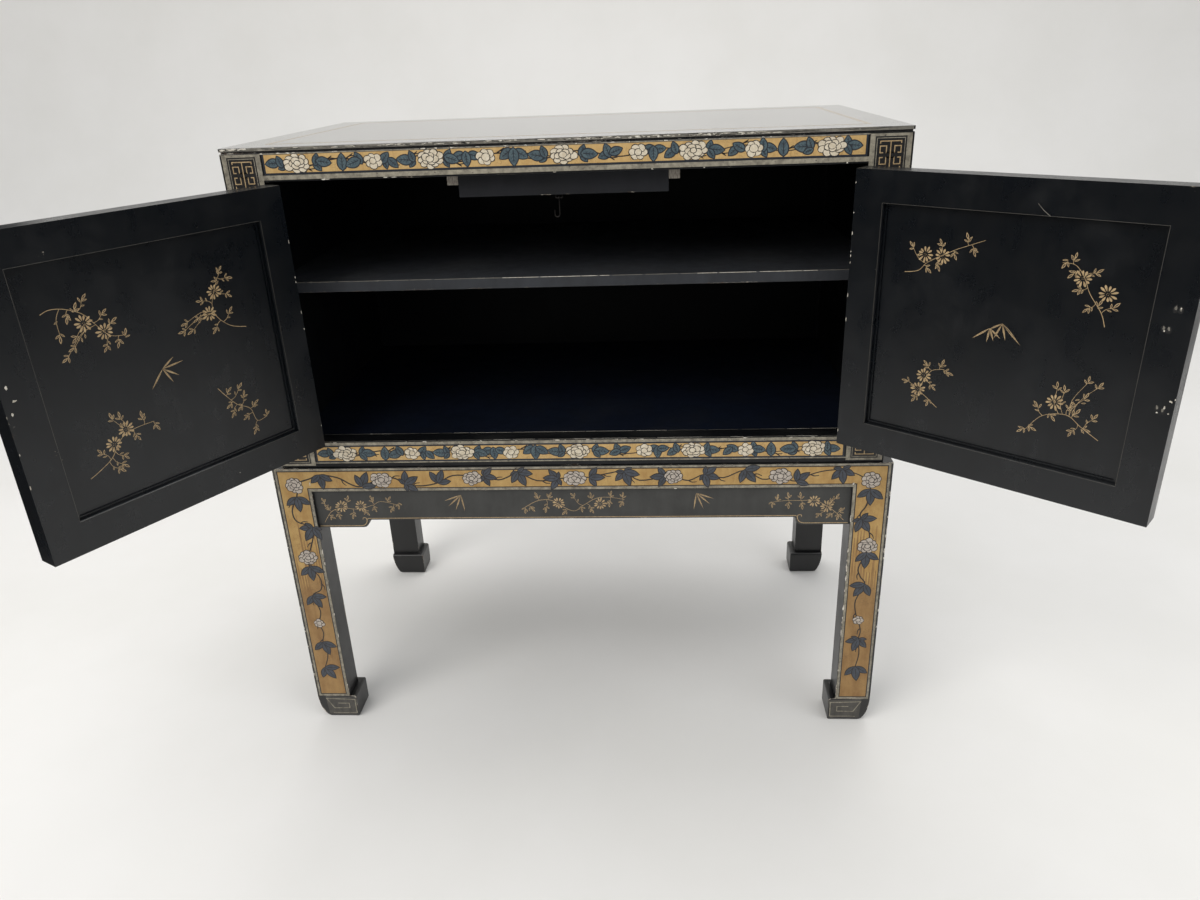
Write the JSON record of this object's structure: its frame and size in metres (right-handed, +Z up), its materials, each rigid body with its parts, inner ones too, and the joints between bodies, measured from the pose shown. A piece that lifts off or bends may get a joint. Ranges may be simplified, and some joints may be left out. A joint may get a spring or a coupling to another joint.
{
  "type": "cabinet on stand",
  "caption": "Black lacquer cabinet with two hinged panelled doors and one shelf, on a low open stand with shaped aprons and scrolled hoof feet.",
  "frame": {"origin": "on the floor, at the middle of the whole outline with the doors standing open as at rest; the middle of the cabinet itself is 0.0489 m towards -X and 0.1823 m towards +Y of it", "axes": "+Z up out of the top board, +X along the cabinet's width to the right as seen from its front, -Y the way the doors face"},
  "size_m": [1.322, 0.8986, 0.9502],
  "materials": {
    "black_lacquer": "black lacquer over wood, worn at the edges",
    "interior_black": "dull black lacquer",
    "ochre_ground": "lacquer with an ochre ground and painted flowers",
    "brass": "aged brass",
    "dark_iron": "darkened wire",
    "block_wood": "pale unfinished wood"
  },
  "bodies": {
    "cabinet": {"stand_leg_front_left": "ochre_ground", "stand_leg_front_right": "ochre_ground", "stand_leg_back_left": "black_lacquer", "stand_leg_back_right": "black_lacquer", "stand_front_rail": "ochre_ground", "stand_front_apron": "black_lacquer", "stand_back_rail": "black_lacquer", "stand_back_apron": "black_lacquer", "stand_left_rail": "black_lacquer", "stand_left_apron": "black_lacquer", "stand_right_rail": "black_lacquer", "stand_right_apron": "black_lacquer", "frame_stile_left": "black_lacquer", "frame_stile_right": "black_lacquer", "frame_rail_top": "ochre_ground", "frame_rail_bottom": "ochre_ground", "side_board_left": "black_lacquer", "side_board_right": "black_lacquer", "back_board": "black_lacquer", "floor_board": "interior_black", "shelf": "interior_black", "shelf_cleat_left": "interior_black", "shelf_cleat_right": "interior_black", "top_board": "black_lacquer", "stop_rail": "interior_black", "stop_block_left": "block_wood", "stop_block_right": "block_wood", "hook_staple": "dark_iron", "hinge_left_lower_frame_leaf": "brass", "hinge_left_lower_pin": "brass", "hinge_left_upper_frame_leaf": "brass", "hinge_left_upper_pin": "brass", "hinge_right_lower_frame_leaf": "brass", "hinge_right_lower_pin": "brass", "hinge_right_upper_frame_leaf": "brass", "hinge_right_upper_pin": "brass"},
    "door_left": {"door_left_hinge_stile": "black_lacquer", "door_left_meeting_stile": "black_lacquer", "door_left_bottom_rail": "black_lacquer", "door_left_top_rail": "black_lacquer", "door_left_panel": "black_lacquer", "door_left_pull": "brass", "hinge_left_lower_door_leaf": "brass", "hinge_left_upper_door_leaf": "brass"},
    "door_right": {"door_right_hinge_stile": "black_lacquer", "door_right_meeting_stile": "black_lacquer", "door_right_bottom_rail": "black_lacquer", "door_right_top_rail": "black_lacquer", "door_right_panel": "black_lacquer", "door_right_pull": "brass", "hinge_right_lower_door_leaf": "brass", "hinge_right_upper_door_leaf": "brass"},
    "hook": {"stop_hook": "dark_iron"}
  },
  "joints": [
    {"name": "door_left_hinge", "type": "hinge", "parent": "cabinet", "child": "door_left", "pos_m": [-0.45065, -0.08569, 0.714], "axis": [0, 0, 1], "range_deg": [-50, 120]},
    {"name": "door_right_hinge", "type": "hinge", "parent": "cabinet", "child": "door_right", "pos_m": [0.35285, -0.08569, 0.714], "axis": [0, 0, 1], "range_deg": [-140, 30]},
    {"name": "hook_swing", "type": "hinge", "parent": "cabinet", "child": "hook", "pos_m": [-0.0559, -0.04409, 0.8687], "axis": [1, 0, 0], "range_deg": [-12, 80]}
  ]
}
